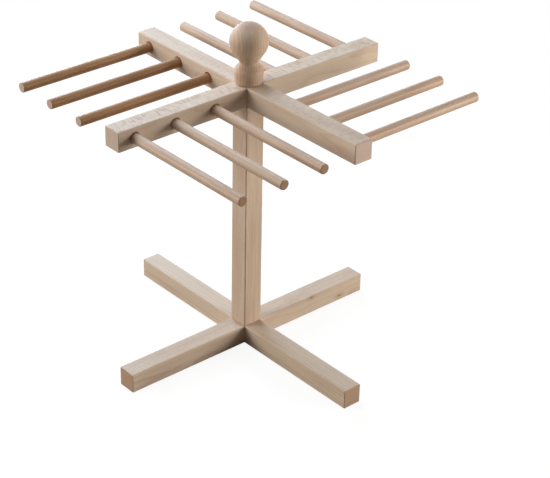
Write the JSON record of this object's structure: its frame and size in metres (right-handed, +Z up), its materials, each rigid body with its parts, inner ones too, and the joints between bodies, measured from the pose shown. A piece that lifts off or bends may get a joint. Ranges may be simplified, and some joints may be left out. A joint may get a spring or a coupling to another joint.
{
  "type": "pasta drying rack",
  "caption": "Free-standing beech rack: a post on a crossed base carries a cross of arms whose round rods hold strands of fresh pasta to dry, clamped by a turned knob.",
  "frame": {"origin": "centre of the base cross on the surface it stands on, which is the middle of the whole box's underside and a point of the post's axis", "axes": "+Z up along the post; +X right, along the base bar that is unbroken on top; +Y back. The picture looks from between -Y (front) and +X (right)."},
  "size_m": [0.3, 0.3, 0.32],
  "materials": {
    "beech_bar": "planed and sanded beech, unfinished",
    "beech_rod": "beech dowel, unfinished",
    "beech_knob": "turned and sanded beech, unfinished",
    "zinc_steel": "bright zinc plate",
    "brass": "machined"
  },
  "bodies": {
    "stand": {"base_bar_upper": "beech_bar", "base_bar_lower": "beech_bar", "post": "beech_bar", "base_screw": "zinc_steel", "post_insert": "brass"},
    "top_cross": {"top_bar_upper": "beech_bar", "top_bar_lower": "beech_bar"},
    "stud": {"knob_stud": "zinc_steel"},
    "knob": {"knob": "beech_knob"},
    "front_rod_inner": {"front_rod_inner": "beech_rod"},
    "front_rod_middle": {"front_rod_middle": "beech_rod"},
    "front_rod_outer": {"front_rod_outer": "beech_rod"},
    "right_rod_inner": {"right_rod_inner": "beech_rod"},
    "right_rod_middle": {"right_rod_middle": "beech_rod"},
    "right_rod_outer": {"right_rod_outer": "beech_rod"},
    "back_rod_inner": {"back_rod_inner": "beech_rod"},
    "back_rod_middle": {"back_rod_middle": "beech_rod"},
    "back_rod_outer": {"back_rod_outer": "beech_rod"},
    "left_rod_inner": {"left_rod_inner": "beech_rod"},
    "left_rod_middle": {"left_rod_middle": "beech_rod"},
    "left_rod_outer": {"left_rod_outer": "beech_rod"}
  },
  "joints": [
    {"name": "top_swivel", "type": "hinge", "parent": "stand", "child": "top_cross", "pos_m": [0, 0, 0.245], "axis": [0, 0, 1], "continuous": true},
    {"name": "stud_rise", "type": "slide", "parent": "stand", "child": "stud", "axis": [0, 0, 1], "range_m": [0, 0.012]},
    {"name": "knob_turn", "type": "hinge", "parent": "stud", "child": "knob", "pos_m": [0, 0, 0.264], "axis": [0, 0, 1], "range_deg": [0, 4320]},
    {"name": "pull_front_rod_inner", "type": "slide", "parent": "top_cross", "child": "front_rod_inner", "axis": [1, 0, 0], "range_m": [0, 0.02]},
    {"name": "pull_front_rod_middle", "type": "slide", "parent": "top_cross", "child": "front_rod_middle", "axis": [1, 0, 0], "range_m": [0, 0.02]},
    {"name": "pull_front_rod_outer", "type": "slide", "parent": "top_cross", "child": "front_rod_outer", "axis": [1, 0, 0], "range_m": [0, 0.02]},
    {"name": "pull_right_rod_inner", "type": "slide", "parent": "top_cross", "child": "right_rod_inner", "axis": [0, 1, 0], "range_m": [0, 0.02]},
    {"name": "pull_right_rod_middle", "type": "slide", "parent": "top_cross", "child": "right_rod_middle", "axis": [0, 1, 0], "range_m": [0, 0.02]},
    {"name": "pull_right_rod_outer", "type": "slide", "parent": "top_cross", "child": "right_rod_outer", "axis": [0, 1, 0], "range_m": [0, 0.02]},
    {"name": "pull_back_rod_inner", "type": "slide", "parent": "top_cross", "child": "back_rod_inner", "axis": [-1, 0, 0], "range_m": [0, 0.02]},
    {"name": "pull_back_rod_middle", "type": "slide", "parent": "top_cross", "child": "back_rod_middle", "axis": [-1, 0, 0], "range_m": [0, 0.02]},
    {"name": "pull_back_rod_outer", "type": "slide", "parent": "top_cross", "child": "back_rod_outer", "axis": [-1, 0, 0], "range_m": [0, 0.02]},
    {"name": "pull_left_rod_inner", "type": "slide", "parent": "top_cross", "child": "left_rod_inner", "axis": [0, -1, 0], "range_m": [0, 0.02]},
    {"name": "pull_left_rod_middle", "type": "slide", "parent": "top_cross", "child": "left_rod_middle", "axis": [0, -1, 0], "range_m": [0, 0.02]},
    {"name": "pull_left_rod_outer", "type": "slide", "parent": "top_cross", "child": "left_rod_outer", "axis": [0, -1, 0], "range_m": [0, 0.02]}
  ],
  "couplings": [
    {"joint": "knob_turn", "follows": "stud_rise", "rad_per_m": 6283.2}
  ]
}
